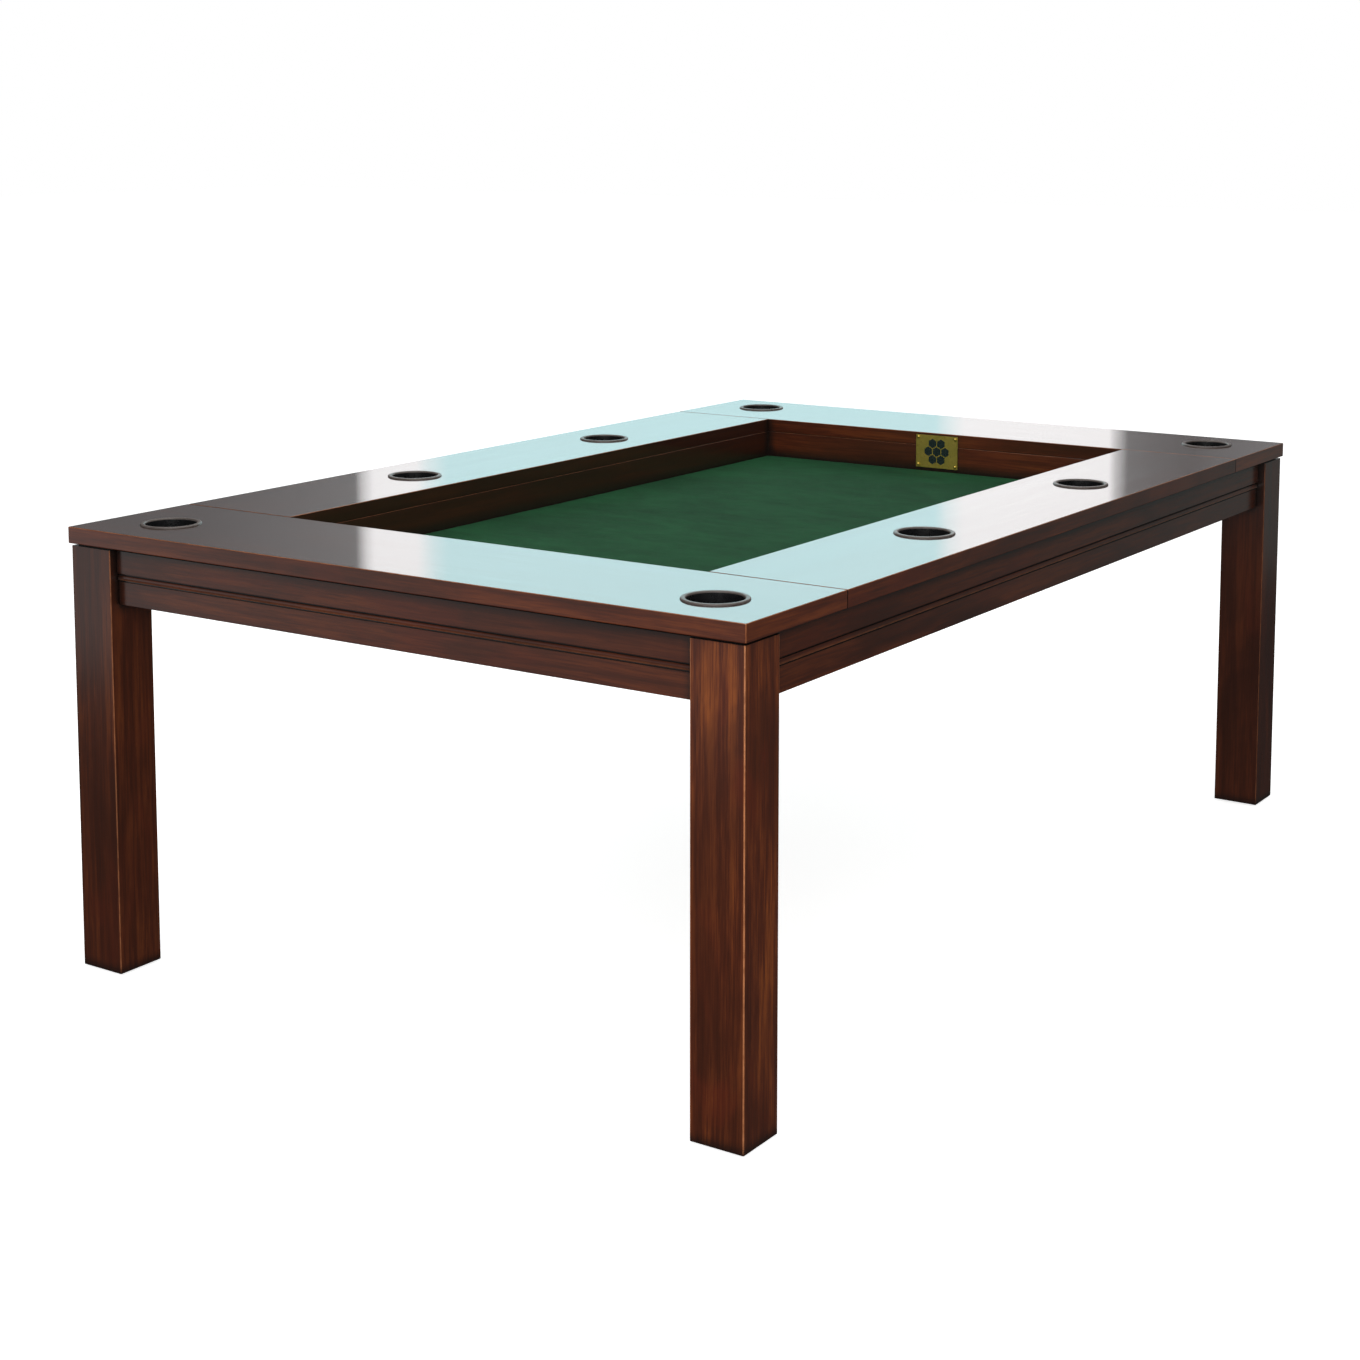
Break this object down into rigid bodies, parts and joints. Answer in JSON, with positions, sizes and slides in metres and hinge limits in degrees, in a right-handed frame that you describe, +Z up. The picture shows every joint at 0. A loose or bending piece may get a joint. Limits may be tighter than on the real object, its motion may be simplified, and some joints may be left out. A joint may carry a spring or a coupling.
{
  "type": "gaming table",
  "caption": "Rectangular gaming table on square legs, with wide top boards around a sunken felt play pit, moulded aprons and drop-in cup holders.",
  "frame": {"origin": "on the floor under the centre of the table", "axes": "+Z up, +X along the length towards the end with the plaque, -Y the front long side"},
  "size_m": [2.11, 1.345, 0.7648],
  "materials": {
    "stained_wood": "dark red-brown stain under a high-gloss lacquer",
    "plain_wood": "planed, unfinished",
    "plywood": "sanded, unfinished",
    "felt": "dense short-nap felt, glued down",
    "black_plastic": "moulded, glossy",
    "brass": "polished, slightly aged",
    "enamel": "dark enamel fill",
    "zinc_steel": "zinc plated",
    "nylon": "moulded"
  },
  "bodies": {
    "table": {"apron_back": "stained_wood", "apron_front": "stained_wood", "apron_left": "stained_wood", "apron_right": "stained_wood", "bearer_cleat_back": "plain_wood", "bearer_cleat_front": "plain_wood", "bearer_screws": "zinc_steel", "brass_plaque": "brass", "cleat_screws": "zinc_steel", "corner_bracket_back_left": "zinc_steel", "corner_bracket_back_right": "zinc_steel", "corner_bracket_front_left": "zinc_steel", "corner_bracket_front_right": "zinc_steel", "corner_bracket_screws": "zinc_steel", "cross_bearer_1": "plain_wood", "cross_bearer_2": "plain_wood", "cross_bearer_3": "plain_wood", "cross_bearer_4": "plain_wood", "cross_bearer_5": "plain_wood", "fixing_block_screws": "zinc_steel", "fixing_blocks": "plain_wood", "glide_back_left": "nylon", "glide_back_right": "nylon", "glide_front_left": "nylon", "glide_front_right": "nylon", "leg_back_left": "stained_wood", "leg_back_right": "stained_wood", "leg_bolt_nuts": "zinc_steel", "leg_bolt_washers": "zinc_steel", "leg_front_left": "stained_wood", "leg_front_right": "stained_wood", "leg_hanger_bolts": "zinc_steel", "pit_wall_back": "stained_wood", "pit_wall_front": "stained_wood", "pit_wall_left": "stained_wood", "pit_wall_right": "stained_wood", "plaque_enamel": "enamel", "plaque_pins": "brass", "play_board": "plywood", "play_board_screws": "zinc_steel", "play_felt": "felt", "seam_dowels": "plain_wood", "seam_plate_screws": "zinc_steel", "seam_plates": "zinc_steel", "top_board_back": "stained_wood", "top_board_front": "stained_wood", "top_board_left": "stained_wood", "top_board_right": "stained_wood"},
    "cup_corner_front_left": {"cup_holder_corner_front_left": "black_plastic"},
    "cup_corner_front_right": {"cup_holder_corner_front_right": "black_plastic"},
    "cup_corner_back_right": {"cup_holder_corner_back_right": "black_plastic"},
    "cup_corner_back_left": {"cup_holder_corner_back_left": "black_plastic"},
    "cup_middle_front_left": {"cup_holder_middle_front_left": "black_plastic"},
    "cup_middle_front_right": {"cup_holder_middle_front_right": "black_plastic"},
    "cup_middle_back_left": {"cup_holder_middle_back_left": "black_plastic"},
    "cup_middle_back_right": {"cup_holder_middle_back_right": "black_plastic"}
  },
  "joints": [
    {"name": "lift_cup_corner_front_left", "type": "slide", "parent": "table", "child": "cup_corner_front_left", "axis": [0, 0, 1], "range_m": [0, 0.08]},
    {"name": "lift_cup_corner_front_right", "type": "slide", "parent": "table", "child": "cup_corner_front_right", "axis": [0, 0, 1], "range_m": [0, 0.08]},
    {"name": "lift_cup_corner_back_right", "type": "slide", "parent": "table", "child": "cup_corner_back_right", "axis": [0, 0, 1], "range_m": [0, 0.08]},
    {"name": "lift_cup_corner_back_left", "type": "slide", "parent": "table", "child": "cup_corner_back_left", "axis": [0, 0, 1], "range_m": [0, 0.08]},
    {"name": "lift_cup_middle_front_left", "type": "slide", "parent": "table", "child": "cup_middle_front_left", "axis": [0, 0, 1], "range_m": [0, 0.08]},
    {"name": "lift_cup_middle_front_right", "type": "slide", "parent": "table", "child": "cup_middle_front_right", "axis": [0, 0, 1], "range_m": [0, 0.08]},
    {"name": "lift_cup_middle_back_left", "type": "slide", "parent": "table", "child": "cup_middle_back_left", "axis": [0, 0, 1], "range_m": [0, 0.08]},
    {"name": "lift_cup_middle_back_right", "type": "slide", "parent": "table", "child": "cup_middle_back_right", "axis": [0, 0, 1], "range_m": [0, 0.08]}
  ]
}
